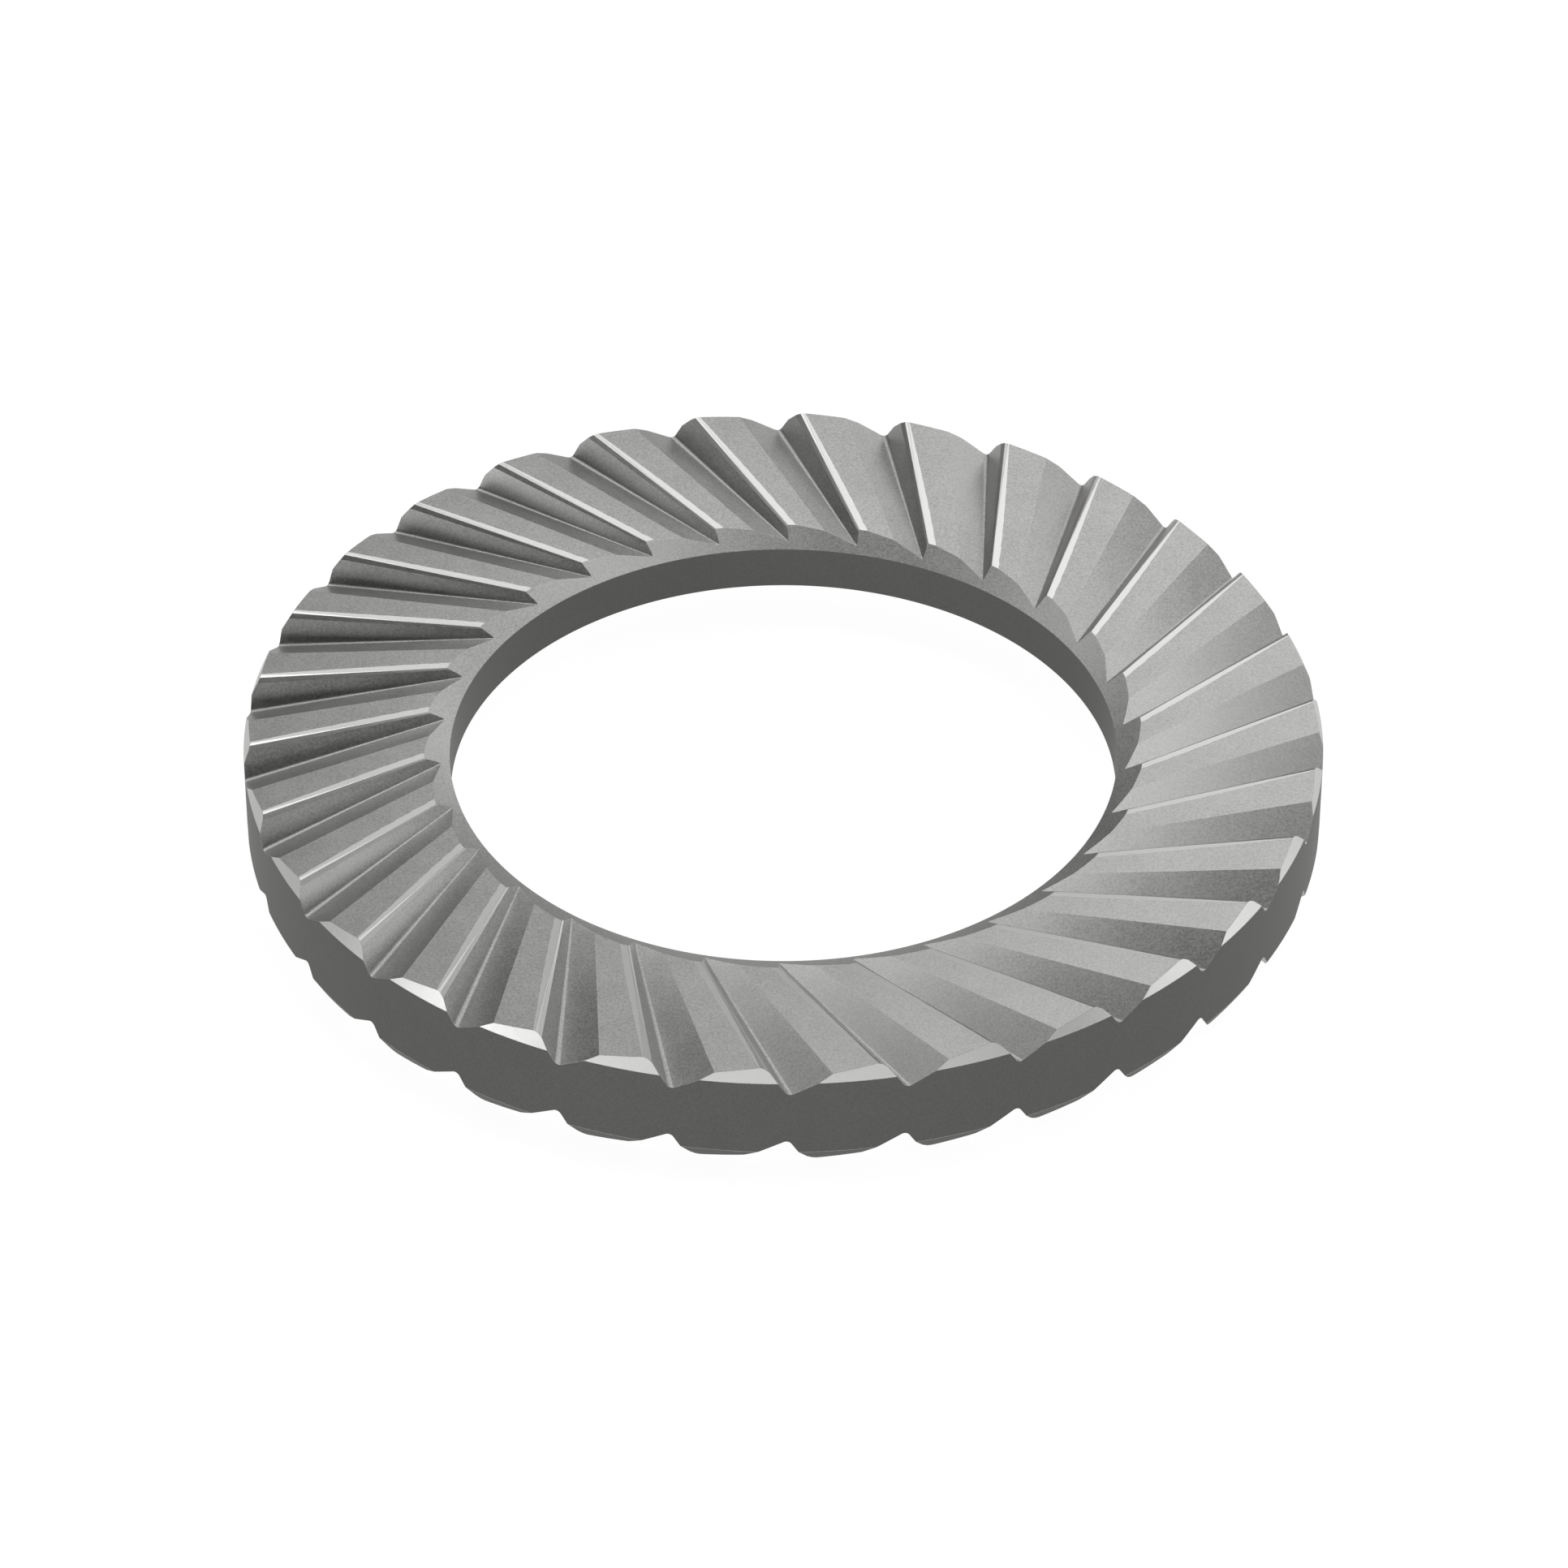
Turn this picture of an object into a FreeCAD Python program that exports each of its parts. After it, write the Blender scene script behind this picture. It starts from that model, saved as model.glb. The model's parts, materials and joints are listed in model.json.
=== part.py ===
# Serrated safety washer: a turned spring-steel ring with skewed saw teeth on
# both faces. It is one piece, so it is one body. Millimetres and degrees.
# The body is drawn about the ring's middle plane, with a valley on the X
# axis. Its placement then stands it on z = 0, with the hole along Z.
import FreeCAD, Part
import math
import os
import Sketcher
from FreeCAD import Vector

NODE = "serrated_washer"
STATIONS = ("rim", "bore")

# Driving dimensions: alias, value, meaning
SIZES = [
    ("outer_diameter", 10.0, "across the rim"),
    ("bore_diameter", 6.2, "hole for a 6 mm screw"),
    ("overall_height", 1.04, "crest to crest, at the rim"),
    ("face_height_bore", 0.618, "the same two coned faces, carried in to the hole"),
    ("bore_wall_height", 0.432, "straight wall of the hole"),
    ("countersink_angle", 27.0, "slope of the cone round the hole"),
    ("rim_chamfer_width", 0.065, "chamfer of the crests at the rim, along the radius"),
    ("rim_chamfer_height", 0.125, "the same chamfer, along the axis"),
    ("core_thickness", 0.51, "valley floor to valley floor"),
    ("tooth_count", 30, "teeth on each face"),
    ("skew_angle", 21.0, "lean of a valley from the radius, at the rim"),
    ("valley_bearing", 90.5, "where one valley leaves the rim, from +X"),
    ("crest_share_rim", 0.05, "crest's share of the pitch, the strip of coned face left between gaps"),
    ("bevel_share_rim", 0.043, "share of the bevel between crest and flank, at the rim"),
    ("bevel_drop_rim", 0.036, "height of that bevel, at the rim"),
    ("flank_share_rim", 0.143, "steep flank's share, at the rim"),
    ("back_share_rim", 0.375, "back slope's share, at the rim; the land has the rest"),
    ("back_rise_rim", 0.222, "rise of the back slope over its share, at the rim"),
    ("root_radius_rim", 0.075, "rounding of the valley, at the rim"),
    ("crest_share_bore", 0.04, "crest's share of the pitch, at the hole"),
    ("bevel_share_bore", 0.03, "share of the bevel between crest and flank, at the hole"),
    ("bevel_drop_bore", 0.008, "height of that bevel, at the hole"),
    ("flank_share_bore", 0.1, "steep flank's share, at the hole"),
    ("back_share_bore", 0.363, "back slope's share, at the hole"),
    ("back_rise_bore", 0.0248, "rise of the back slope over its share, at the hole"),
    ("root_radius_bore", 0.02, "rounding of the valley, at the hole"),
    ("rim_overrun", 0.05, "the gap's outer profile stands this far outside the rim"),
    ("bore_overrun", 0.2, "the gap's inner profile stands this far inside the hole"),
    ("crest_overrun", 0.012, "bevel and land are drawn on over the crests by this much, sideways"),
    ("top_overrun", 0.1, "the gap reaches this far above the crests"),
]

# Dimensions that follow from them: alias, formula, meaning
RING = [
    ("rim_radius", "outer_diameter / 2", "rim"),
    ("bore_radius", "bore_diameter / 2", "wall of the hole"),
    ("half_height", "overall_height / 2", "middle plane to crest"),
    ("half_core", "core_thickness / 2", "middle plane to valley floor"),
    ("half_wall", "bore_wall_height / 2", "middle plane to the hole's edge"),
    ("half_face", "face_height_bore / 2", "middle plane to the coned face, at the hole"),
    ("crest_radius", "rim_radius - rim_chamfer_width", "outer end of the crests"),
    ("shoulder", "half_height - rim_chamfer_height", "lower edge of the rim's chamfer"),
    ("face_fall", "(half_height - half_face) / (crest_radius - bore_radius)", "per mm of radius"),
    ("sink_width", "(half_face - half_wall) / (tan(countersink_angle) - face_fall)", "countersink"),
    ("sink_radius", "bore_radius + sink_width", "outer edge of the countersink"),
    ("sink_height", "half_face + face_fall * sink_width", "its height over the middle plane"),
    ("pitch_angle", "360 / tooth_count", "one tooth"),
    ("rim_station", "rim_radius + rim_overrun", "plane of the gap's outer profile"),
    ("bore_station", "bore_radius - bore_overrun", "plane of the gap's inner profile"),
    ("gap_top", "half_height + top_overrun", "upper side of the gap"),
]

# Corners of the gap's profile, END being rim or bore. The valley leans by the
# skew. The pitch is measured sideways in the profile's plane, behind to the
# valley at the end of the back slope and land, ahead to the other neighbour.
# Bevel and land climb to the coned face, and a little further.
PROFILE = [
    ("valley_END", "(END_station - rim_radius) * tan(skew_angle)", "valley, sideways"),
    (
        "pitch_behind_END",
        "rim_radius * sin(pitch_angle) - valley_END"
        " + (END_station - rim_radius * cos(pitch_angle)) * tan(skew_angle + pitch_angle)",
        "to the valley behind",
    ),
    (
        "pitch_ahead_END",
        "rim_radius * sin(pitch_angle) + valley_END"
        " - (END_station - rim_radius * cos(pitch_angle)) * tan(skew_angle - pitch_angle)",
        "to the valley ahead",
    ),
    ("face_END", "half_face - face_fall * bore_radius", "coned face, carried in to the axis"),
    ("flank_y_END", "valley_END - flank_share_END * pitch_ahead_END", "flank meets bevel"),
    ("bevel_run_END", "bevel_share_END * pitch_ahead_END", "sideways, flank to crest"),
    ("crest_y_END", "flank_y_END - bevel_run_END", "bevel meets crest"),
    ("crest_z_END", "face_END + face_fall * sqrt(END_station ^ 2 + crest_y_END ^ 2)", "the same"),
    ("flank_z_END", "crest_z_END - bevel_drop_END", "flank meets bevel"),
    ("bevel_y_END", "crest_y_END - crest_overrun", "bevel's end"),
    ("bevel_z_END", "crest_z_END + crest_overrun * bevel_drop_END / bevel_run_END", "bevel's end"),
    ("back_y_END", "valley_END + back_share_END * pitch_behind_END", "back slope meets land"),
    ("back_z_END", "half_core + back_rise_END", "back slope meets land"),
    (
        "land_run_END",
        "(1 - flank_share_END - bevel_share_END - crest_share_END - back_share_END)"
        " * pitch_behind_END",
        "sideways, back slope to crest",
    ),
    (
        "land_rise_END",
        "face_END - back_z_END + face_fall * sqrt(END_station ^ 2 + (back_y_END + land_run_END) ^ 2)",
        "back slope to coned face",
    ),
    ("land_y_END", "back_y_END + land_run_END + crest_overrun", "land's end"),
    (
        "land_z_END",
        "back_z_END + land_rise_END * (1 + crest_overrun / land_run_END)",
        "land's end",
    ),
]


def fill_sheet(doc):
    """Put the driving and the worked-out dimensions in the spreadsheet."""
    sheet = doc.addObject("Spreadsheet::Sheet", "sizes")
    rows = [(alias, str(value), meaning) for alias, value, meaning in SIZES]
    rows += [(alias, "=" + formula, meaning) for alias, formula, meaning in RING]
    for station in STATIONS:
        for row in PROFILE:
            alias, formula, meaning = [text.replace("END", station) for text in row]
            rows.append((alias, "=" + formula, meaning))
    for number, (alias, content, meaning) in enumerate(rows, start=1):
        sheet.set(f"A{number}", alias)
        sheet.set(f"B{number}", content)
        sheet.setAlias(f"B{number}", alias)
        sheet.set(f"C{number}", meaning)
    doc.recompute()
    return sheet


def origin_part(body, role):
    """One of the body's own origin planes or axes."""
    return [item for item in body.Origin.OriginFeatures if item.Role == role][0]


def new_sketch(body, name, plane):
    """A sketch on one of the body's origin planes."""
    sketch = body.newObject("Sketcher::SketchObject", name)
    sketch.AttachmentSupport = [(origin_part(body, plane), "")]
    sketch.MapMode = "FlatFace"
    return sketch


def point_at(sheet, across, up):
    """Two dimensions of the sheet as a point of a sketch."""
    return Vector(sheet.get(across), sheet.get(up), 0)


def bind(sketch, sheet, kind, alias, *where):
    """Add one constraint whose size is a dimension of the sheet."""
    index = sketch.addConstraint(Sketcher.Constraint(kind, *where, sheet.get(alias)))
    sketch.setExpression(f"Constraints[{index}]", f"{sheet.Name}.{alias}")


def pin(sketch, sheet, geometry, end, across, up):
    """Hold one end of a line at two dimensions, measured from the origin."""
    bind(sketch, sheet, "DistanceX", across, -1, 1, geometry, end)
    bind(sketch, sheet, "DistanceY", up, -1, 1, geometry, end)


def draw_chain(sketch, points):
    """Draw the lines from point to point, each joined to the one before."""
    lines = []
    for start, finish in zip(points, points[1:]):
        lines.append(sketch.addGeometry(Part.LineSegment(start, finish), False))
    for line, following in zip(lines, lines[1:]):
        sketch.addConstraint(Sketcher.Constraint("Coincident", line, 2, following, 1))
    return lines


def draw_ring_section(body, sheet):
    """Half section of the ring, the same above and below the middle plane."""
    sketch = new_sketch(body, "ring_section", "XZ_Plane")
    corners = [
        ("bore_radius", "half_wall"),
        ("sink_radius", "sink_height"),
        ("crest_radius", "half_height"),
        ("rim_radius", "shoulder"),
    ]
    upper = [point_at(sheet, across, up) for across, up in corners]
    lower = [Vector(point.x, -point.y, 0) for point in reversed(upper)]
    lines = draw_chain(sketch, upper + lower + upper[:1])
    sketch.addConstraint(Sketcher.Constraint("Coincident", lines[-1], 2, lines[0], 1))
    for line, (across, up) in zip(lines, corners):
        pin(sketch, sheet, line, 1, across, up)
    for above, below in zip(lines, reversed(lines)):
        if above < below:
            sketch.addConstraint(Sketcher.Constraint("Symmetric", above, 1, below, 1, -1))
    return sketch


def draw_gap_profile(body, sheet, station):
    """Section of the gap between two teeth: bevel, steep flank, rounded valley,
    back slope and land, closed above the crests."""
    sketch = new_sketch(body, f"gap_{station}", "YZ_Plane")
    sketch.setExpression("AttachmentOffset.Base.z", f"{sheet.Name}.{station}_station")

    valley = point_at(sheet, f"valley_{station}", "half_core")
    flank_end = point_at(sheet, f"flank_y_{station}", f"flank_z_{station}")
    bevel_end = point_at(sheet, f"bevel_y_{station}", f"bevel_z_{station}")
    back_end = point_at(sheet, f"back_y_{station}", f"back_z_{station}")
    land_end = point_at(sheet, f"land_y_{station}", f"land_z_{station}")
    top = sheet.get("gap_top")

    # the rounding touches both slopes at the same distance from the valley
    radius = sheet.get(f"root_radius_{station}")
    up_flank = (flank_end - valley).normalize()
    up_back = (back_end - valley).normalize()
    half_opening = up_flank.getAngle(up_back) / 2
    reach = radius / math.tan(half_opening)
    flank_start = valley + up_flank * reach
    back_start = valley + up_back * reach
    middle = (up_flank + up_back).normalize()
    floor = valley + middle * (radius / math.sin(half_opening) - radius)

    root = sketch.addGeometry(Part.Arc(flank_start, floor, back_start), False)
    back, land, riser, lid, drop, bevel, flank = draw_chain(
        sketch,
        [
            back_start,
            back_end,
            land_end,
            Vector(land_end.x, top, 0),
            Vector(bevel_end.x, top, 0),
            bevel_end,
            flank_end,
            flank_start,
        ],
    )
    corner = sketch.addGeometry(Part.Point(valley), True)

    pin(sketch, sheet, corner, 1, f"valley_{station}", "half_core")
    sketch.addConstraint(Sketcher.Constraint("PointOnObject", corner, 1, flank))
    sketch.addConstraint(Sketcher.Constraint("PointOnObject", corner, 1, back))
    sketch.addConstraint(Sketcher.Constraint("Tangent", flank, 2, root, 1))
    sketch.addConstraint(Sketcher.Constraint("Tangent", root, 2, back, 1))
    bind(sketch, sheet, "Radius", f"root_radius_{station}", root)
    pin(sketch, sheet, flank, 1, f"flank_y_{station}", f"flank_z_{station}")
    pin(sketch, sheet, bevel, 1, f"bevel_y_{station}", f"bevel_z_{station}")
    pin(sketch, sheet, back, 2, f"back_y_{station}", f"back_z_{station}")
    pin(sketch, sheet, land, 2, f"land_y_{station}", f"land_z_{station}")
    sketch.addConstraint(Sketcher.Constraint("Vertical", riser))
    sketch.addConstraint(Sketcher.Constraint("Horizontal", lid))
    sketch.addConstraint(Sketcher.Constraint("Vertical", drop))
    bind(sketch, sheet, "DistanceY", "gap_top", -1, 1, lid, 1)
    return sketch


def add_pattern(doc, body, sheet, name, axis, occurrences):
    """One of the two turns that repeat a gap."""
    pattern = doc.addObject("PartDesign::PolarPattern", name)
    body.addObject(pattern)
    pattern.Axis = (origin_part(body, axis), [""])
    pattern.Angle = 360
    if isinstance(occurrences, str):
        pattern.setExpression("Occurrences", f"{sheet.Name}.{occurrences}")
    else:
        pattern.Occurrences = occurrences
    return pattern


def check(doc):
    """Stop if any object of the document has failed."""
    for item in doc.Objects:
        for state in ("Invalid", "Error"):
            if state in item.State:
                raise RuntimeError(f"{item.Label} failed: {item.State}")


os.makedirs("parts", exist_ok=True)
doc = FreeCAD.newDocument("serrated_washer")
sheet = fill_sheet(doc)

body = doc.addObject("PartDesign::Body", NODE)
body.Label = NODE
body.setExpression("Placement.Base.z", f"{sheet.Name}.half_height")
body.setExpression("Placement.Rotation.Angle", f"{sheet.Name}.valley_bearing")

# the turned blank: hole, countersinks, coned faces, chamfers and rim
ring = body.newObject("PartDesign::Revolution", "ring")
ring.Profile = draw_ring_section(body, sheet)
ring.ReferenceAxis = (origin_part(body, "Z_Axis"), [""])
ring.Angle = 360
doc.recompute()
blank_volume = body.Shape.Volume

# one gap, ruled straight from the rim's profile to the bore's
gap = body.newObject("PartDesign::SubtractiveLoft", "gap")
gap.Profile = draw_gap_profile(body, sheet, "rim")
gap.Sections = [draw_gap_profile(body, sheet, "bore")]
gap.Ruled = True
doc.recompute()

# all the gaps of the upper face, and the same again turned over
gaps = doc.addObject("PartDesign::MultiTransform", "gaps")
gaps.Refine = False
gaps.Originals = [gap]
body.addObject(gaps)
gaps.Transformations = [
    add_pattern(doc, body, sheet, "round_the_hole", "Z_Axis", "tooth_count"),
    add_pattern(doc, body, sheet, "turned_over", "X_Axis", 2),
]
body.Tip = gaps
# one by one, as recomputing the whole document cuts every gap twice
for item in (*gaps.Transformations, gaps, body):
    item.recompute()

check(doc)
washer = body.Shape
if washer.isNull() or not washer.isValid() or len(washer.Solids) != 1:
    raise RuntimeError("the washer is not one sound solid")
if washer.Volume >= blank_volume:
    raise RuntimeError("the gaps between the teeth were not cut")
washer.exportStep(f"parts/{NODE}.step")
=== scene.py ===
# Serrated safety washer in a studio: the washer's one piece is modelled anew,
# with broken edges and crests that show wear, in place of the imported solid.
# The crests also carry a painted highlight in their paler colour. Sizes are
# real ones, in metres. The piece is drawn a thousand times up, where merging
# and cutting have room, and is brought down to size at the end.
import json
import math
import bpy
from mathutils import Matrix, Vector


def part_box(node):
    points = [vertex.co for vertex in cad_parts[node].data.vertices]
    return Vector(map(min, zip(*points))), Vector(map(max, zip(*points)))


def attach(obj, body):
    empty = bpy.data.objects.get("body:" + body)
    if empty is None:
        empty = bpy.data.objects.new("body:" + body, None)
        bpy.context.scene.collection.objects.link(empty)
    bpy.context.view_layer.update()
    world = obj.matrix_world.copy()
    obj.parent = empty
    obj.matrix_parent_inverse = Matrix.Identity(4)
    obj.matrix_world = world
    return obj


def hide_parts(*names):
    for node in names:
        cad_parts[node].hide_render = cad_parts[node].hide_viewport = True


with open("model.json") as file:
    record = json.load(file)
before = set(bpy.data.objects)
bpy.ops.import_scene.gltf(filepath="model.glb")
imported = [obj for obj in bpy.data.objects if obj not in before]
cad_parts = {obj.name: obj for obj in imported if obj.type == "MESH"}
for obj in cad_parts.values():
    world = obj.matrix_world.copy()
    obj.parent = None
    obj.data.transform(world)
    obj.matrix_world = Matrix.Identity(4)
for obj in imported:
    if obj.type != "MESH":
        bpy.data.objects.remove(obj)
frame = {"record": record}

from types import SimpleNamespace

import bmesh
import bpy
from bpy.props import FloatProperty, FloatVectorProperty, IntProperty, PointerProperty
from mathutils import Vector

bl_info = {
    "name": "Serrated Safety Washer",
    "version": (1, 0, 0),
    "blender": (4, 5, 0),
    "location": "View3D > Sidebar > Washer",
    "description": "Models a lock washer with skewed saw teeth, and its studio",
    "category": "Add Mesh",
}

NODE = "serrated_washer"
MM = 0.001

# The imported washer's box and its hole give the leading sizes
PACKED_LOW, PACKED_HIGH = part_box(NODE)
PACKED_HOLE = frame["record"]["mounts"][0]["dims"]
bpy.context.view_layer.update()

# The drawing's scale, and how finely it is made
DRAWN_UP = 1000.0
RING_STEPS = 240
TOOL_CUTS = 11
VALLEY_STEPS = 6
BROKEN_EDGE_STEPS = 3

# In the drawing, corners nearer than a seam are one, and a cut leaves slivers
# up to this wide. A face is upright when its normal rises by less than this.
SEAM = 0.0001
SLIVER = 0.0026
UPRIGHT = 0.05

# A place beside the drawing, from which no two faces of the ring are equally far
ASKEW = Vector((7.0, 11.0, 13.0))

# Places in each pair of sizes
RIM, HOLE = 0, 1

# The steel's tone: how much of it is grain and how much is cloud, the part of
# that sum in which it goes from dull to pale, and what it does to the polish
GRAIN_DETAIL = 2.0
CLOUD_DETAIL = 3.0
PATTERN_ROUGHNESS = 0.55
GRAIN_PART = 0.8
CLOUD_PART = 0.2
DULL = 0.3
PALE = 0.7
POLISH_SPREAD = 0.08
GRAIN_HEIGHT = 0.004 * MM

WHITE = (1.0, 1.0, 1.0, 1.0)
PAPER = (0.9, 0.9, 0.9, 1.0)

# The lamps round the washer, as it sees them: bearing from straight behind it
# toward the right, height over the floor, width and height of the softbox,
# all in degrees, and its brightness, where 1 is white
SOFTBOXES = {
    "top box": (51, 69, 31, 24, 2.4),
    "wide box behind": (10.5, 53.5, 47, 47, 1.1),
    "box behind left": (-39, 49, 43, 19, 2.2),
    "box behind right": (35, 21, 18, 25, 2.6),
    "high box right": (68, 27, 17, 12, 2.0),
    "right strip": (90, 9.5, 46, 19, 2.5),
    "left strip": (-114, 12, 29, 24, 2.35),
    "front strip": (-168, 8.5, 120, 17, 2.4),
}

# The washer's surfaces, in the order of the slots they have while it is cut
SURFACES = [
    "rim wall",
    "upper chamfer",
    "lower chamfer",
    "crest",
    "countersink",
    "hole wall",
    "brow",
    "bevel",
    "gap",
    "land",
    "broken edge",
]
# Walls and lower chamfers get painted shade; upper chamfers, bevels, crests and brows get painted
# highlights, the crests also showing wear
FINISH_OF = {
    "rim wall": "wall steel with painted shade",
    "upper chamfer": "rubbed steel",
    "lower chamfer": "wall steel with painted shade",
    "crest": "worn edge steel",
    "countersink": "satin steel",
    "hole wall": "wall steel with painted shade",
    "brow": "worn edge steel",
    "bevel": "rubbed steel",
    "gap": "satin steel",
    "land": "satin steel",
    "broken edge": "satin steel",
}


def length(name, description, millimetres):
    """A length that a user can change, given in millimetres."""
    return FloatProperty(
        name=name,
        description=description,
        default=millimetres * MM,
        min=0.0,
        unit="LENGTH",
        precision=6,
    )


def lengths(name, description, rim, hole):
    """A length with one value at the rim and one at the hole, in millimetres."""
    return FloatVectorProperty(
        name=name,
        description=description,
        size=2,
        default=(rim * MM, hole * MM),
        unit="LENGTH",
        precision=6,
    )


def shares(name, description, rim, hole):
    """A share of the pitch, at the rim and at the hole."""
    return FloatVectorProperty(
        name=name, description=description, size=2, default=(rim, hole), min=0.0, max=1.0
    )


def angle(name, description, degrees):
    """An angle that a user can change."""
    return FloatProperty(
        name=name, description=description, default=math.radians(degrees), subtype="ANGLE"
    )


def colour(name, description, value):
    """A colour that a user can change."""
    return FloatVectorProperty(
        name=name,
        description=description,
        size=3,
        default=value,
        min=0.0,
        max=1.0,
        subtype="COLOR",
    )


def factor(name, description, value):
    """A number from nothing to one."""
    return FloatProperty(
        name=name, description=description, default=value, min=0.0, max=1.0, subtype="FACTOR"
    )


def brightness(name, description, value):
    """How bright a part of the studio looks; 1 is white."""
    return FloatProperty(name=name, description=description, default=value, min=0.0)


class RingSizes(bpy.types.PropertyGroup):
    """The turned ring, before its gaps are cut."""

    outer_diameter: length("Outer diameter", "Across the rim", (PACKED_HIGH.x - PACKED_LOW.x) / MM)
    hole_radius: length("Hole radius", "Wall of the hole", PACKED_HOLE["r_mm"])
    height: length("Height", "Crest to crest, at the rim", (PACKED_HIGH.z - PACKED_LOW.z) / MM)
    face_height: length("Face height", "The two coned faces, carried in to the hole", 0.618)
    wall_height: length("Wall height", "Straight wall of the hole", PACKED_HOLE["length_mm"])
    countersink: angle("Countersink", "Slope of the cone round the hole", 27.0)
    chamfer_width: length("Chamfer width", "Chamfer at the rim, along the radius", 0.065)
    chamfer_height: length("Chamfer height", "The same chamfer, along the axis", 0.125)
    broken_edge: length("Broken edge", "Rounding of every edge between two surfaces", 0.0065)


class ToothSizes(bpy.types.PropertyGroup):
    """The gaps between the teeth. Pairs are given at the rim and at the hole."""

    count: IntProperty(name="Teeth", description="Teeth on each face", default=30, min=3)
    skew: angle("Skew", "Lean of a valley from the radius, at the rim", 21.0)
    bearing: angle("Bearing", "Where one valley leaves the rim, from X", 90.5)
    core: length("Core", "Valley floor to valley floor", 0.51)
    crest: shares("Crest", "Level crest's share of the pitch", 0.016, 0.021)
    brow: shares("Brow", "Share of the gently tilted facet beside the crest", 0.034, 0.021)
    brow_drop: lengths("Brow drop", "Height of that facet", 0.009, 0.003)
    bevel: shares("Bevel", "Share of the bevel between brow and flank", 0.04, 0.021)
    bevel_drop: lengths("Bevel drop", "Height of that bevel", 0.032, 0.006)
    flank: shares("Flank", "Steep flank's share of the pitch", 0.143, 0.1)
    back: shares("Back slope", "Back slope's share; the land has the rest", 0.375, 0.363)
    back_rise: lengths("Back rise", "Rise of the back slope over its share", 0.222, 0.0248)
    root: lengths("Root radius", "Rounding of the valley", 0.052, 0.016)
    outside: lengths("Overrun", "How far the cutting tool stands outside the ring", 0.05, 0.2)
    past_crest: length("Past the crest", "Brow and land are drawn on by this much", 0.012)
    over_crest: length("Over the crest", "The cutting tool reaches this far above the crests", 0.1)


class SteelLook(bpy.types.PropertyGroup):
    """Colours and polish of the washer's four finishes, and their common grain. The wall colour is
    painted shade, and the paler chamfer and crest colours are painted highlights.
    """

    satin: colour("Satin", "Teeth and countersink", (0.39, 0.39, 0.382))
    # Wall colour: painted shade on the walls of rim and hole and on the lower chamfers
    wall: colour("Wall", "Walls of rim and hole, and lower chamfers", (0.126, 0.126, 0.122))
    # Painted highlight: the paler colour of the upper chamfers and bevels
    painted_highlight: colour("Painted highlight", "Upper chamfers, and bevels", (0.54, 0.54, 0.53))
    # Crests and brows: wear, and a painted highlight in the paler colour
    wear_and_highlight: colour("Wear and highlight", "Crests and brows, rubbed bright", (0.57, 0.57, 0.56))
    satin_roughness: factor("Satin roughness", "Roughness of the teeth", 0.48)
    wall_roughness: factor("Wall roughness", "Roughness of the walls", 0.62)
    painted_highlight_roughness: factor("Rubbed roughness", "Roughness of chamfers and bevels", 0.42)
    wear_and_highlight_roughness: factor("Worn roughness", "Roughness of the crests", 0.38)
    grain: length("Grain", "Width of the blasted grain", 0.022)
    cloud: length("Cloud", "Width of the pale and dull patches", 0.35)


class StudioLook(bpy.types.PropertyGroup):
    """Camera, floor and lamps round the washer."""

    camera_distance: length("Camera distance", "Camera to the washer's middle", 67.5)
    camera_elevation: angle("Camera elevation", "Camera above the washer's plane", 38.32)
    lens: FloatProperty(
        name="Lens", description="Focal length in millimetres", default=166.45, min=1.0
    )
    aim_aside: length("Aim aside", "The view's middle is this far right of the axis", 0.005)
    aim_below: length("Aim below", "The view's middle lies this far under the washer's", 0.1675)
    floor_size: length("Floor size", "Side of the white floor", 2000.0)
    floor_share: factor("Floor's own white", "Share of the floor's white that no shadow dims", 0.85)
    floor_white: brightness("Floor brightness", "That white; the sum is just white", 1.12)
    lamp_distance: length("Lamp distance", "Softboxes to the washer's middle", 400.0)
    room: brightness("Room", "Dim room between the softboxes", 0.02)


class Value:
    """A number in a node tree. Sums written with it add their Math nodes."""

    def __init__(self, nodes, socket):
        self.nodes = nodes
        self.socket = socket

    def maths(self, operation, left, right):
        node = self.nodes.add("ShaderNodeMath", {"operation": operation}, {0: left, 1: right})
        return Value(self.nodes, node.outputs["Value"])

    def __add__(self, other):
        return self.maths("ADD", self, other)

    def __radd__(self, other):
        return self.maths("ADD", other, self)

    def __sub__(self, other):
        return self.maths("SUBTRACT", self, other)

    def __rsub__(self, other):
        return self.maths("SUBTRACT", other, self)

    def __mul__(self, other):
        return self.maths("MULTIPLY", self, other)

    def __rmul__(self, other):
        return self.maths("MULTIPLY", other, self)


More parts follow.
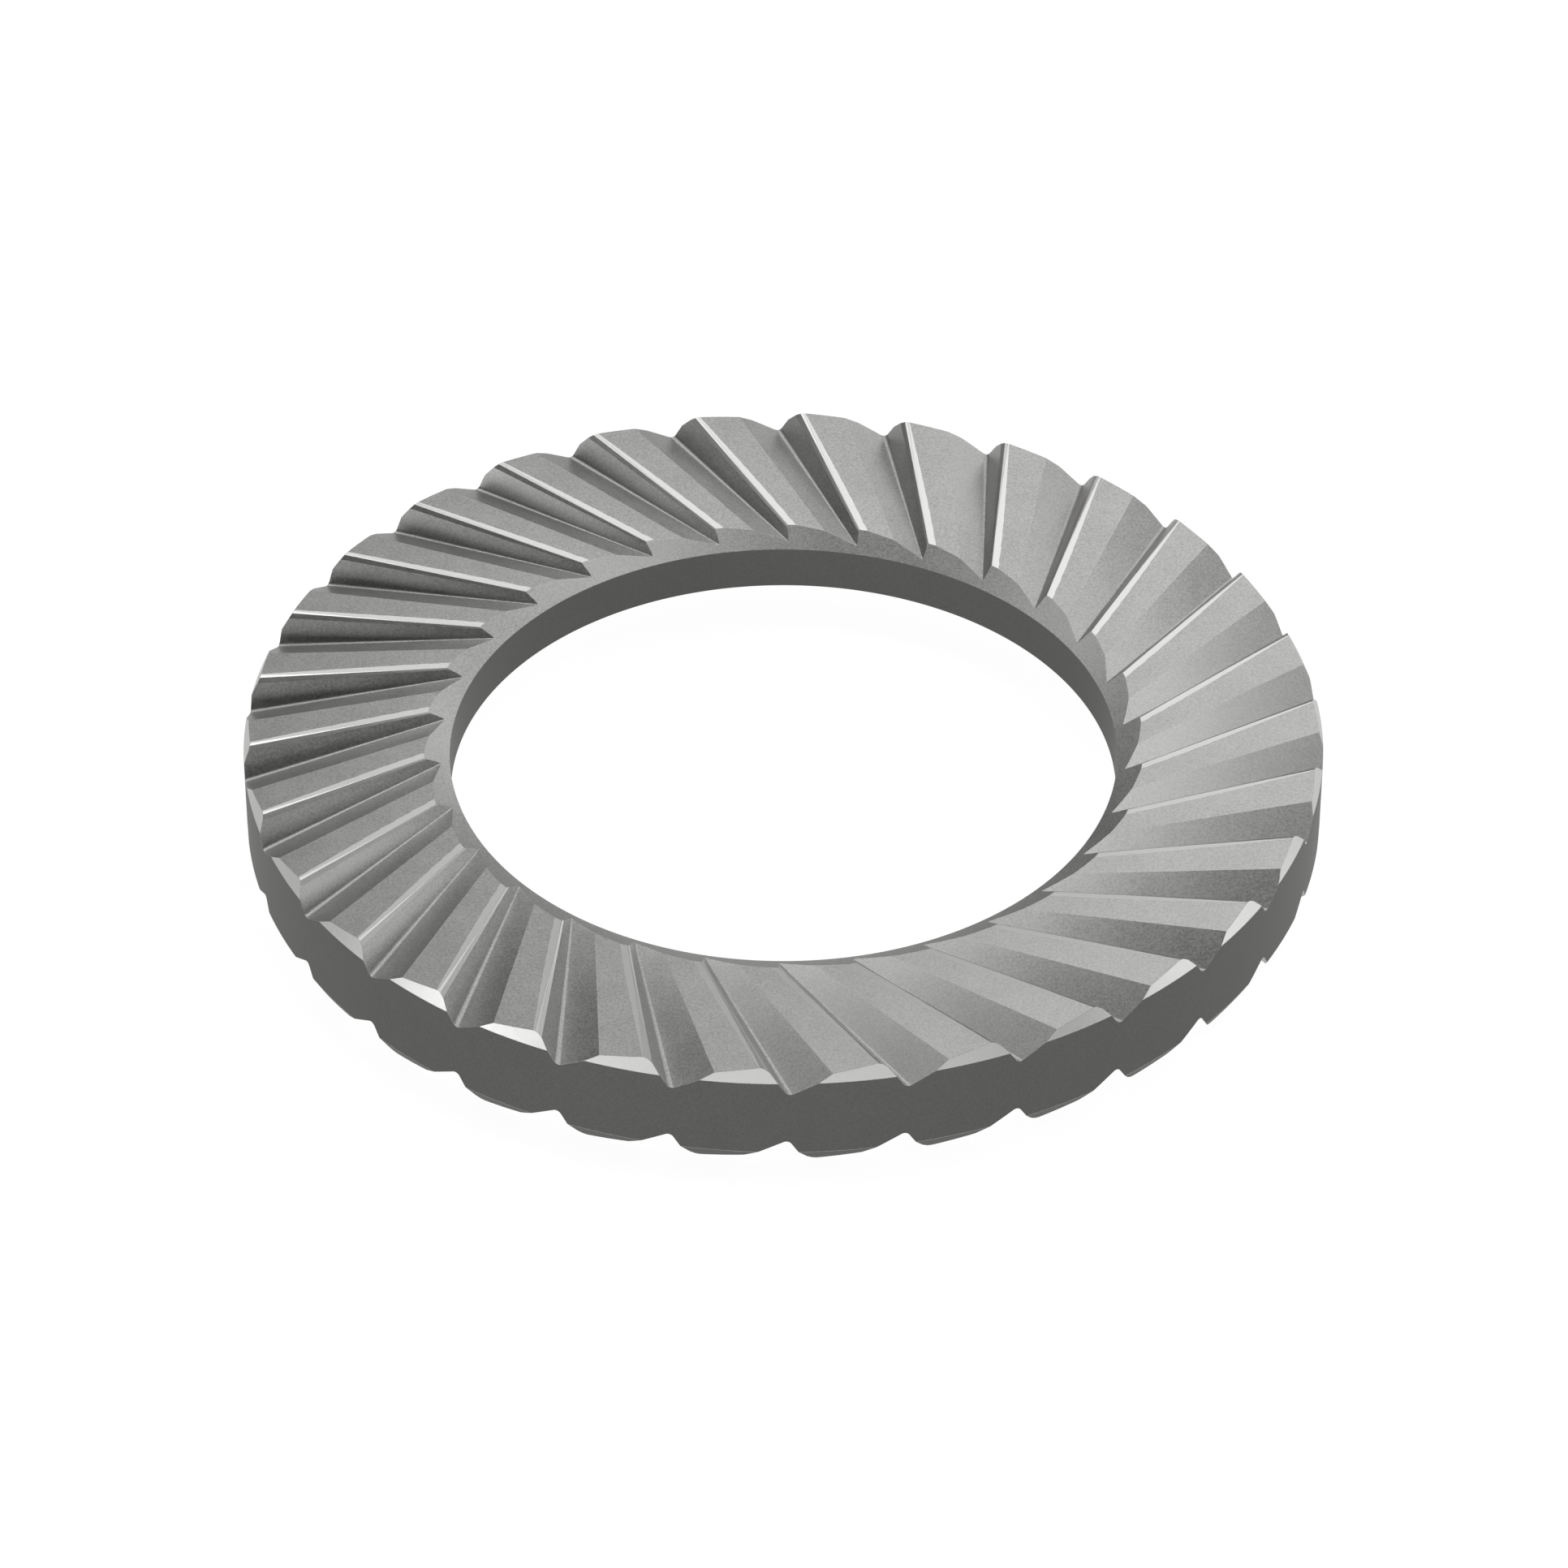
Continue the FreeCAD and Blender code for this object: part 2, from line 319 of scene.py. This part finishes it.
class Nodes:
    """The node tree of a material or of the world, emptied and filled anew."""

    def __init__(self, owner):
        owner.use_nodes = True
        self.owner = owner
        self.tree = owner.node_tree
        self.tree.nodes.clear()

    def add(self, kind, settings=None, inputs=None):
        """Add a node of a type, with its settings first and then its values and links."""
        node = self.tree.nodes.new(kind)
        for name, setting in (settings or {}).items():
            setattr(node, name, setting)
        for name, given in (inputs or {}).items():
            source = given.socket if isinstance(given, Value) else given
            if isinstance(source, bpy.types.NodeSocket):
                self.tree.links.new(source, node.inputs[name])
            else:
                node.inputs[name].default_value = source
        return node

    def value(self, socket):
        return Value(self, socket)

    def between(self, number, start, end):
        """Smooth step: 0 where the number is at start, 1 where it is at end."""
        node = self.add(
            "ShaderNodeMapRange",
            {"interpolation_type": "SMOOTHSTEP"},
            {"Value": number, "From Min": start, "From Max": end},
        )
        return self.value(node.outputs["Result"])

    def mix(self, amount, first, second):
        """A colour between two colours. A Mix node's sockets share their names, so they go by number."""
        node = self.add("ShaderNodeMix", {"data_type": "RGBA"}, {0: amount, 6: first, 7: second})
        return node.outputs[2]

    def drawing_place(self):
        """Where a point is on the object, in millimetres."""
        place = self.add("ShaderNodeTexCoord").outputs["Object"]
        scaled = self.add(
            "ShaderNodeVectorMath", {"operation": "SCALE"}, {"Vector": place, "Scale": 1 / MM}
        )
        return scaled.outputs["Vector"]

    def noise(self, place, width, detail):
        """Cloudy pattern whose patches are about this wide, from 0 to 1."""
        node = self.add(
            "ShaderNodeTexNoise",
            {"noise_dimensions": "3D"},
            {
                "Vector": place,
                "Scale": 1 / width,
                "Detail": detail,
                "Roughness": PATTERN_ROUGHNESS,
            },
        )
        return self.value(node.outputs[0])


def shade(base, share):
    """A colour made darker or lighter, with the alpha that a node wants."""
    return tuple(min(1.0, channel * share) for channel in base) + (1.0,)


def steel(name, base, roughness, contrast, relief, look):
    """Blasted spring steel: grain in its colour, polish and relief, and faint patches."""
    nodes = Nodes(bpy.data.materials.new(name))
    place = nodes.drawing_place()
    grain = nodes.noise(place, look.grain / MM, GRAIN_DETAIL)
    cloud = nodes.noise(place, look.cloud / MM, CLOUD_DETAIL)
    tone = nodes.between(grain * GRAIN_PART + cloud * CLOUD_PART, DULL, PALE)
    skin = nodes.mix(tone, shade(base, 1 - contrast), shade(base, 1 + contrast))
    bump = nodes.add(
        "ShaderNodeBump", {}, {"Strength": relief, "Distance": GRAIN_HEIGHT, "Height": grain}
    )
    surface = nodes.add(
        "ShaderNodeBsdfPrincipled",
        {},
        {
            "Base Color": skin,
            "Metallic": 1.0,
            "Roughness": roughness + POLISH_SPREAD * (tone - 0.5),
            "Normal": bump.outputs["Normal"],
        },
    )
    nodes.add("ShaderNodeOutputMaterial", {}, {"Surface": surface.outputs[0]})
    return nodes.owner


def satin_steel(look):
    """Teeth, valleys and countersink, as blasted."""
    return steel(
        "satin steel", look.satin, look.satin_roughness, contrast=0.18, relief=0.22, look=look
    )


def wall_steel_with_painted_shade(look):
    """Rim, hole and lower chamfers, given a colour darker than the teeth as painted shade."""
    return steel(
        "wall steel with painted shade", look.wall, look.wall_roughness, contrast=0.12, relief=0.2, look=look
    )


def steel_with_painted_highlight(look):
    """Chamfers that end the upper crests at the rim, and the bevels, given a colour paler than the teeth
    as a painted highlight.
    """
    return steel(
        "rubbed steel", look.painted_highlight, look.painted_highlight_roughness, contrast=0.04, relief=0.06, look=look
    )


def wear_and_highlight_edge_steel(look):
    """The narrow crests and their brows, showing wear, in a colour paler than the teeth that is a
    painted highlight.
    """
    return steel(
        "worn edge steel", look.wear_and_highlight, look.wear_and_highlight_roughness, contrast=0.03, relief=0.03, look=look
    )


def deselect_all():
    for item in bpy.context.selected_objects:
        item.select_set(False)


def edit(item):
    """Open one object in edit mode, with all of it selected."""
    deselect_all()
    item.select_set(True)
    bpy.context.view_layer.objects.active = item
    bpy.ops.object.mode_set(mode="EDIT")
    bpy.ops.mesh.select_all(action="SELECT")


def close_edit():
    bpy.ops.object.mode_set(mode="OBJECT")


def select_corners(item, wanted):
    """In edit mode, select only the corners for which wanted says yes."""
    mesh = bmesh.from_edit_mesh(item.data)
    for corner in mesh.verts:
        corner.select = wanted(corner)
    mesh.select_flush_mode()
    bmesh.update_edit_mesh(item.data)


def sort_faces(item):
    """In edit mode, put the faces in an order that is the same in each run.

    A spin leaves them in any order, and what a cut and a merge make depends on it."""
    mesh = bmesh.from_edit_mesh(item.data)
    mesh.faces.sort(key=lambda face: (face.calc_center_median() - ASKEW).length)
    bmesh.update_edit_mesh(item.data)


def trace(name, corners):
    """A flat face: a point, drawn out from corner to corner and closed."""
    deselect_all()
    bpy.ops.mesh.primitive_plane_add(size=1.0)
    face = bpy.context.object
    face.name = name
    edit(face)
    bpy.ops.mesh.merge(type="CENTER")
    bpy.ops.transform.translate(value=corners[0])
    for corner, following in zip(corners, corners[1:]):
        bpy.ops.mesh.extrude_region_move(TRANSFORM_OT_translate={"value": following - corner})
    select_corners(face, lambda corner: len(corner.link_edges) < 2)
    bpy.ops.mesh.edge_face_add()
    close_edit()
    return face


def drawn_sizes(ring, teeth):
    """Every size of the drawing, worked out from the user's sizes and drawn up."""
    rim = ring.outer_diameter * DRAWN_UP / 2
    hole = ring.hole_radius * DRAWN_UP
    crest = ring.height * DRAWN_UP / 2
    face = ring.face_height * DRAWN_UP / 2
    wall = ring.wall_height * DRAWN_UP / 2
    crest_end = rim - ring.chamfer_width * DRAWN_UP
    fall = (crest - face) / (crest_end - hole)
    sink_width = (face - wall) / (math.tan(ring.countersink) - fall)
    return SimpleNamespace(
        rim=rim,
        hole=hole,
        crest=crest,
        wall=wall,
        crest_end=crest_end,
        shoulder=crest - ring.chamfer_height * DRAWN_UP,
        fall=fall,
        face_on_axis=face - fall * hole,
        sink_end=hole + sink_width,
        sink_height=face + fall * sink_width,
        core=teeth.core * DRAWN_UP / 2,
        pitch=math.tau / teeth.count,
        lid=crest + teeth.over_crest * DRAWN_UP,
        past_crest=teeth.past_crest * DRAWN_UP,
    )


def name_surfaces(item, name_of):
    """Give every face the slot of the surface it belongs to."""
    for face in item.data.polygons:
        face.material_index = SURFACES.index(name_of(face))


def add_surface_slots(item, finishes):
    """One slot for each surface, with the finish that it has."""
    for surface in SURFACES:
        item.data.materials.append(finishes[FINISH_OF[surface]])


def spin_ring(size):
    """The ring before its gaps: half a section, the same below, spun round the hole."""
    above = [
        Vector((size.hole, 0, size.wall)),
        Vector((size.sink_end, 0, size.sink_height)),
        Vector((size.crest_end, 0, size.crest)),
        Vector((size.rim, 0, size.shoulder)),
    ]
    below = [Vector((corner.x, 0, -corner.z)) for corner in reversed(above)]
    ring = trace("washer", above + below)
    edit(ring)
    # half a step round, so that no step of the ring falls on a valley
    bpy.ops.transform.rotate(
        value=math.pi / RING_STEPS, orient_axis="Z", orient_type="GLOBAL", center_override=(0, 0, 0)
    )
    bpy.ops.mesh.spin(steps=RING_STEPS, angle=math.tau, center=(0, 0, 0), axis=(0, 0, 1))
    bpy.ops.mesh.select_all(action="SELECT")
    bpy.ops.mesh.remove_doubles(threshold=SEAM)
    bpy.ops.mesh.normals_make_consistent(inside=False)
    sort_faces(ring)
    close_edit()
    return ring


def ring_surface(face, size):
    """Which surface of the turned ring a face belongs to."""
    radius = math.hypot(face.center.x, face.center.y)
    if abs(face.normal.z) < UPRIGHT:
        return "hole wall" if radius < size.sink_end else "rim wall"
    if radius > size.crest_end:
        return "upper chamfer" if face.center.z > 0 else "lower chamfer"
    return "countersink" if radius < size.sink_end else "crest"


def gap_corners(size, teeth, end):
    """Corners of a gap's section just outside the rim or inside the hole.

    The valley leans by the skew. The pitch is measured sideways in the
    section's plane, to the valley behind and to the one ahead."""
    outside = teeth.outside[end] * DRAWN_UP
    station = size.rim + outside if end == RIM else size.hole - outside
    valley = (station - size.rim) * math.tan(teeth.skew)
    across = size.rim * math.sin(size.pitch)
    along = station - size.rim * math.cos(size.pitch)
    behind = across - valley + along * math.tan(teeth.skew + size.pitch)
    ahead = across + valley - along * math.tan(teeth.skew - size.pitch)

    def face_at(sideways):
        return size.face_on_axis + size.fall * math.hypot(station, sideways)

    flank = valley - teeth.flank[end] * ahead
    bevel = flank - teeth.bevel[end] * ahead
    brow_run = teeth.brow[end] * ahead
    brow_drop = teeth.brow_drop[end] * DRAWN_UP
    crest_height = face_at(bevel - brow_run)
    bevel_height = crest_height - brow_drop
    flank_height = bevel_height - teeth.bevel_drop[end] * DRAWN_UP
    brow_end = bevel - brow_run - size.past_crest
    brow_height = crest_height + size.past_crest * brow_drop / brow_run

    back = valley + teeth.back[end] * behind
    back_height = size.core + teeth.back_rise[end] * DRAWN_UP
    other_parts = (teeth.flank, teeth.bevel, teeth.brow, teeth.crest, teeth.back)
    land_run = (1 - sum(part[end] for part in other_parts)) * behind
    land_rise = face_at(back + land_run) - back_height
    land_end = back + land_run + size.past_crest
    land_height = back_height + land_rise * (1 + size.past_crest / land_run)

    outline = [
        (valley, size.core),
        (back, back_height),
        (land_end, land_height),
        (land_end, size.lid),
        (brow_end, size.lid),
        (brow_end, brow_height),
        (bevel, bevel_height),
        (flank, flank_height),
    ]
    return [Vector((station, sideways, height)) for sideways, height in outline]


def round_valley(section, corners, radius):
    """Round the first corner of a gap's section, its valley."""
    valley, back, flank = corners[0], corners[1], corners[-1]
    half_opening = (back - valley).angle(flank - valley) / 2
    edit(section)
    select_corners(section, lambda corner: (corner.co - valley).length < SEAM)
    bpy.ops.mesh.bevel(
        affect="VERTICES",
        offset=radius / math.tan(half_opening),
        offset_type="OFFSET",
        segments=VALLEY_STEPS,
        profile=0.5,
        clamp_overlap=False,
    )
    close_edit()


def make_gap_tool(size, teeth):
    """The shape of one gap, bridged straight from its rim section to its hole section."""
    outlines = [gap_corners(size, teeth, end) for end in (RIM, HOLE)]
    sections = []
    for end, corners in enumerate(outlines):
        section = trace(f"gap section {end}", corners)
        round_valley(section, corners, teeth.root[end] * DRAWN_UP)
        sections.append(section)
    deselect_all()
    for section in sections:
        section.select_set(True)
    tool = sections[0]
    bpy.context.view_layer.objects.active = tool
    bpy.ops.object.join()
    edit(tool)
    bpy.ops.mesh.delete(type="ONLY_FACE")
    bpy.ops.mesh.select_all(action="SELECT")
    bpy.ops.mesh.bridge_edge_loops(number_cuts=TOOL_CUTS, interpolation="LINEAR")
    bpy.ops.mesh.select_all(action="DESELECT")
    bpy.ops.mesh.select_non_manifold()
    bpy.ops.mesh.fill_holes(sides=0)
    bpy.ops.mesh.select_all(action="SELECT")
    bpy.ops.mesh.normals_make_consistent(inside=False)
    close_edit()
    return tool, outlines


def gap_surface(face, outlines):
    """Which surface a face of the tool makes: brow, bevel, land, or flank and back together."""
    rim_outline, hole_outline = outlines
    rim_station = rim_outline[0].x
    part = (rim_station - face.center.x) / (rim_station - hole_outline[0].x)
    back = rim_outline[1].lerp(hole_outline[1], part)
    flank = rim_outline[-1].lerp(hole_outline[-1], part)
    bevel = rim_outline[-2].lerp(hole_outline[-2], part)
    if face.center.y > back.y + SEAM:
        return "land"
    if face.center.y < bevel.y - SEAM:
        return "brow"
    return "bevel" if face.center.y < flank.y - SEAM else "gap"


def repeat_gap_tool(tool, teeth):
    """All the gaps of the upper face, and the same again turned over about the X axis."""
    edit(tool)
    pitch = math.tau / teeth.count
    bpy.ops.mesh.spin(
        steps=teeth.count - 1, dupli=True, angle=math.tau - pitch, center=(0, 0, 0), axis=(0, 0, 1)
    )
    bpy.ops.mesh.select_all(action="SELECT")
    bpy.ops.mesh.duplicate()
    bpy.ops.transform.rotate(
        value=math.pi, orient_axis="X", orient_type="GLOBAL", center_override=(0, 0, 0)
    )
    close_edit()


def cut_gaps(ring, tool):
    """Cut every gap at once, and merge the slivers that the cut leaves."""
    deselect_all()
    ring.select_set(True)
    bpy.context.view_layer.objects.active = ring
    cut = ring.modifiers.new("gaps", "BOOLEAN")
    cut.operation = "DIFFERENCE"
    cut.solver = "EXACT"
    cut.object = tool
    bpy.ops.object.modifier_apply(modifier=cut.name)
    bpy.data.objects.remove(tool)
    edit(ring)
    bpy.ops.mesh.remove_doubles(threshold=SLIVER)
    close_edit()


def break_edges(washer, width):
    """Round every edge between two surfaces by a hair, as tumbling does."""
    edit(washer)
    bpy.ops.mesh.select_all(action="DESELECT")
    mesh = bmesh.from_edit_mesh(washer.data)
    for edge in mesh.edges:
        first, second = edge.link_faces
        if first.material_index != second.material_index:
            edge.select = True
    bmesh.update_edit_mesh(washer.data)
    bpy.ops.mesh.bevel(
        affect="EDGES",
        offset=width,
        offset_type="OFFSET",
        segments=BROKEN_EDGE_STEPS,
        profile=0.5,
        clamp_overlap=True,
        loop_slide=True,
        material=SURFACES.index("broken edge"),
    )
    bpy.ops.mesh.select_all(action="SELECT")
    bpy.ops.mesh.remove_doubles(threshold=SEAM)
    bpy.ops.mesh.normals_make_consistent(inside=False)
    close_edit()


def keep_finishes(washer, finishes):
    """Leave one slot for each finish, in place of one for each surface."""
    order = list(finishes)
    slot_of = [order.index(FINISH_OF[surface]) for surface in SURFACES]
    slots = [slot_of[face.material_index] for face in washer.data.polygons]
    washer.data.materials.clear()
    for finish in finishes.values():
        washer.data.materials.append(finish)
    washer.data.polygons.foreach_set("material_index", slots)


def smooth(washer):
    """Smooth shading that keeps the large surfaces flat."""
    deselect_all()
    washer.select_set(True)
    bpy.context.view_layer.objects.active = washer
    bpy.ops.object.shade_smooth()
    weighted = washer.modifiers.new("flat surfaces", "WEIGHTED_NORMAL")
    weighted.mode = "FACE_AREA"
    bpy.ops.object.modifier_apply(modifier=weighted.name)


def bring_to_size(washer, ring, teeth):
    """Turn the valleys to their bearing, stand the washer on the floor and scale it down."""
    washer.rotation_euler.z = teeth.bearing
    washer.location.z = ring.height / 2
    washer.scale = (1 / DRAWN_UP,) * 3
    bpy.ops.object.transform_apply(location=True, rotation=True, scale=True)


class MESH_OT_serrated_washer_add(bpy.types.Operator):
    """Add the serrated washer, with its finishes"""

    bl_idname = "mesh.serrated_washer_add"
    bl_label = "Serrated Washer"

    def execute(self, context):
        ring_sizes = context.scene.washer_ring
        teeth = context.scene.washer_teeth
        look = context.scene.washer_steel
        finishes = {
            "satin steel": satin_steel(look),
            # the walls and lower chamfers get painted shade
            "wall steel with painted shade": wall_steel_with_painted_shade(look),
            # the upper chamfers and bevels get a painted highlight
            "rubbed steel": steel_with_painted_highlight(look),
            # the crests and brows show wear and get a painted highlight
            "worn edge steel": wear_and_highlight_edge_steel(look),
        }
        size = drawn_sizes(ring_sizes, teeth)

        washer = spin_ring(size)
        add_surface_slots(washer, finishes)
        name_surfaces(washer, lambda face: ring_surface(face, size))
        tool, outlines = make_gap_tool(size, teeth)
        add_surface_slots(tool, finishes)
        name_surfaces(tool, lambda face: gap_surface(face, outlines))
        repeat_gap_tool(tool, teeth)
        cut_gaps(washer, tool)
        break_edges(washer, ring_sizes.broken_edge * DRAWN_UP)
        keep_finishes(washer, finishes)
        smooth(washer)
        bring_to_size(washer, ring_sizes, teeth)

        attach(washer, "root")
        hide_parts(NODE)
        return {"FINISHED"}


def add_floor(look):
    """White floor. Eyes and metal see it near white, and the shadow stays on it."""
    deselect_all()
    bpy.ops.mesh.primitive_plane_add(size=look.floor_size)
    floor = bpy.context.object
    floor.name = "floor"
    nodes = Nodes(bpy.data.materials.new("white floor"))
    path = nodes.add("ShaderNodeLightPath").outputs
    seen = nodes.value(path["Is Camera Ray"]) + nodes.value(path["Is Glossy Ray"])
    seen = seen + nodes.value(path["Is Transmission Ray"])
    lit = nodes.add("ShaderNodeBsdfDiffuse", {}, {"Color": PAPER})
    white = nodes.add("ShaderNodeEmission", {}, {"Color": WHITE, "Strength": look.floor_white})
    surface = nodes.add(
        "ShaderNodeMixShader",
        {},
        {0: seen * look.floor_share, 1: lit.outputs[0], 2: white.outputs[0]},
    )
    nodes.add("ShaderNodeOutputMaterial", {}, {"Surface": surface.outputs[0]})
    floor.data.materials.append(nodes.owner)


def add_room(look):
    """Plain dim room round the softboxes."""
    world = bpy.data.worlds.new("room")
    bpy.context.scene.world = world
    nodes = Nodes(world)
    room = nodes.add("ShaderNodeBackground", {}, {"Color": WHITE, "Strength": look.room})
    nodes.add("ShaderNodeOutputWorld", {}, {"Surface": room.outputs[0]})


def add_softbox(name, look, middle):
    """A lamp with a cloth in front, as wide as the washer sees it, facing the washer.

    Its power is that at which the cloth is as bright as is asked for."""
    bearing, height, width, tall, bright = SOFTBOXES[name]
    turn = math.radians(bearing)
    rise = math.radians(height)
    across = math.cos(rise)
    toward = Vector((math.sin(turn) * across, math.cos(turn) * across, math.sin(rise)))
    bpy.ops.object.light_add(
        type="AREA",
        location=middle + toward * look.lamp_distance,
        rotation=toward.to_track_quat("Z", "Y").to_euler(),
    )
    lamp = bpy.context.object
    lamp.name = name
    lamp.visible_camera = False
    lamp.data.shape = "RECTANGLE"
    lamp.data.size = 2 * look.lamp_distance * math.tan(math.radians(width / 2))
    lamp.data.size_y = 2 * look.lamp_distance * math.tan(math.radians(tall / 2))
    lamp.data.energy = bright * math.pi * lamp.data.size * lamp.data.size_y


def add_camera(look, washer_middle):
    """Camera in front of the washer, looking down on it."""
    camera = bpy.data.objects.new("camera", bpy.data.cameras.new("camera"))
    bpy.context.scene.collection.objects.link(camera)
    camera.data.lens = look.lens
    camera.data.clip_start = MM
    camera.rotation_euler.x = math.pi / 2 - look.camera_elevation
    out = Vector((0, -math.cos(look.camera_elevation), math.sin(look.camera_elevation)))
    up = Vector((0, math.sin(look.camera_elevation), math.cos(look.camera_elevation)))
    aim = washer_middle + Vector((look.aim_aside, 0, 0)) - up * look.aim_below
    camera.location = aim + out * look.camera_distance
    bpy.context.scene.camera = camera


class SCENE_OT_washer_studio_add(bpy.types.Operator):
    """Add the floor, the softboxes and the camera"""

    bl_idname = "scene.washer_studio_add"
    bl_label = "Studio"

    def execute(self, context):
        look = context.scene.washer_studio
        washer_middle = Vector((0, 0, context.scene.washer_ring.height / 2))
        add_floor(look)
        add_room(look)
        for name in SOFTBOXES:
            add_softbox(name, look, washer_middle)
        add_camera(look, washer_middle)
        context.scene.view_settings.view_transform = "Standard"
        return {"FINISHED"}


class VIEW3D_PT_serrated_washer(bpy.types.Panel):
    """Sizes and looks of the washer, and the steps that make it"""

    bl_label = "Serrated Washer"
    bl_space_type = "VIEW_3D"
    bl_region_type = "UI"
    bl_category = "Washer"

    def draw(self, context):
        layout = self.layout
        for group in SETTINGS:
            box = layout.box()
            settings = getattr(context.scene, group)
            for name in settings.__annotations__:
                box.prop(settings, name)
        layout.operator(MESH_OT_serrated_washer_add.bl_idname)
        layout.operator(SCENE_OT_washer_studio_add.bl_idname)


SETTINGS = {
    "washer_ring": RingSizes,
    "washer_teeth": ToothSizes,
    "washer_steel": SteelLook,
    "washer_studio": StudioLook,
}
CLASSES = [
    *SETTINGS.values(),
    MESH_OT_serrated_washer_add,
    SCENE_OT_washer_studio_add,
    VIEW3D_PT_serrated_washer,
]


def register():
    for item in CLASSES:
        bpy.utils.register_class(item)
    for name, group in SETTINGS.items():
        setattr(bpy.types.Scene, name, PointerProperty(type=group))


def unregister():
    for name in SETTINGS:
        delattr(bpy.types.Scene, name)
    for item in reversed(CLASSES):
        bpy.utils.unregister_class(item)


def main():
    register()
    bpy.ops.mesh.serrated_washer_add()
    bpy.ops.scene.washer_studio_add()


if __name__ == "__main__":
    main()
